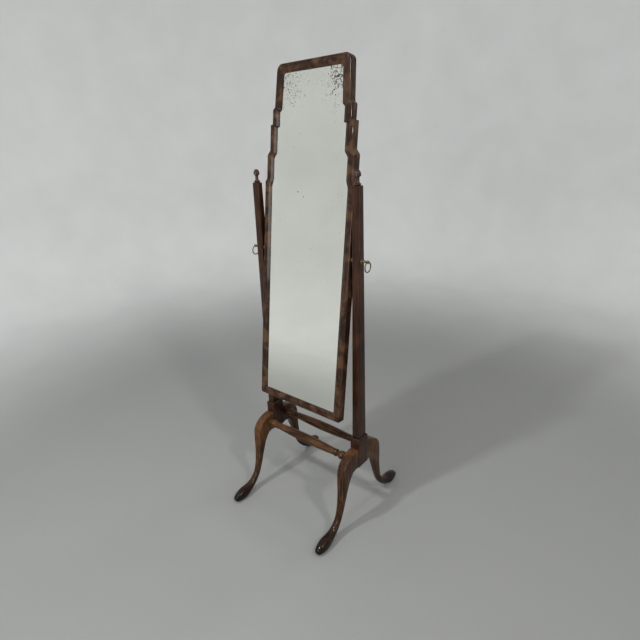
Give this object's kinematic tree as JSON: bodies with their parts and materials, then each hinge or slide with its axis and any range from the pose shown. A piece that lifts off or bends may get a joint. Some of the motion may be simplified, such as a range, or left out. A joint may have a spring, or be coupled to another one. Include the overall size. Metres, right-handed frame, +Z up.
{
  "type": "cheval floor mirror",
  "caption": "Free-standing cheval mirror: a stepped, shouldered looking glass that tilts on ring-headed screws between tapered posts, on cabriole legs joined by turned stretchers.",
  "frame": {"origin": "on the floor, midway between the posts and between the front and back toes", "axes": "+X to the right seen from the front, +Y to the back, +Z up; the glass faces -Y and the pivot line runs along X"},
  "size_m": [0.527, 0.5458, 1.6424],
  "materials": {
    "walnut_posts": "French-polished dark red-brown walnut, glossy",
    "walnut_legs": "French-polished walnut with orange-brown high spots and near-black toes",
    "walnut_frame": "French-polished figured walnut, mottled",
    "dark_walnut": "dark stained turned wood, glossy",
    "beech": "bare pale wood, matt",
    "back_plywood": "bare thin plywood, aged and dusty",
    "aged_brass": "tarnished antique brass",
    "washer_leather": "pressed leather, matt",
    "silvered_glass": "old silvered plate glass with foxing at the top corners and edges"
  },
  "bodies": {
    "stand": {"left_post": "walnut_posts", "left_block": "walnut_legs", "front_left_leg": "walnut_legs", "back_left_leg": "walnut_legs", "left_leg_dowels": "beech", "left_finial": "dark_walnut", "left_bush": "aged_brass", "left_spacer": "aged_brass", "left_washer": "washer_leather", "right_post": "walnut_posts", "right_block": "walnut_legs", "front_right_leg": "walnut_legs", "back_right_leg": "walnut_legs", "right_leg_dowels": "beech", "right_finial": "dark_walnut", "right_bush": "aged_brass", "right_spacer": "aged_brass", "right_washer": "washer_leather", "front_stretcher": "walnut_legs", "back_stretcher": "walnut_legs"},
    "mirror": {"left_pivot_plate": "aged_brass", "left_plate_screws": "aged_brass", "left_stile": "walnut_frame", "right_pivot_plate": "aged_brass", "right_plate_screws": "aged_brass", "right_stile": "walnut_frame", "top_rail": "walnut_frame", "bottom_rail": "walnut_frame", "corner_tongues": "beech", "looking_glass": "silvered_glass", "glazing_blocks": "beech", "backboard": "back_plywood", "backboard_screws": "aged_brass"},
    "left_screw": {"left_pivot_screw": "aged_brass"},
    "right_screw": {"right_pivot_screw": "aged_brass"},
    "left_pull": {"left_ring": "aged_brass"},
    "right_pull": {"right_ring": "aged_brass"}
  },
  "joints": [
    {"name": "mirror_tilt", "type": "hinge", "parent": "stand", "child": "mirror", "pos_m": [0, 0, 1.033], "axis": [1, 0, 0], "continuous": true},
    {"name": "left_screw_turn", "type": "hinge", "parent": "stand", "child": "left_screw", "pos_m": [-0.24, 0, 1.033], "axis": [1, 0, 0], "continuous": true},
    {"name": "right_screw_turn", "type": "hinge", "parent": "stand", "child": "right_screw", "pos_m": [0.24, 0, 1.033], "axis": [1, 0, 0], "continuous": true},
    {"name": "left_ring_swing", "type": "hinge", "parent": "left_screw", "child": "left_pull", "pos_m": [-0.2575, 0, 1.033], "axis": [0, 1, 0], "range_deg": [-35, 215]},
    {"name": "right_ring_swing", "type": "hinge", "parent": "right_screw", "child": "right_pull", "pos_m": [0.2575, 0, 1.033], "axis": [0, -1, 0], "range_deg": [-35, 215]}
  ]
}
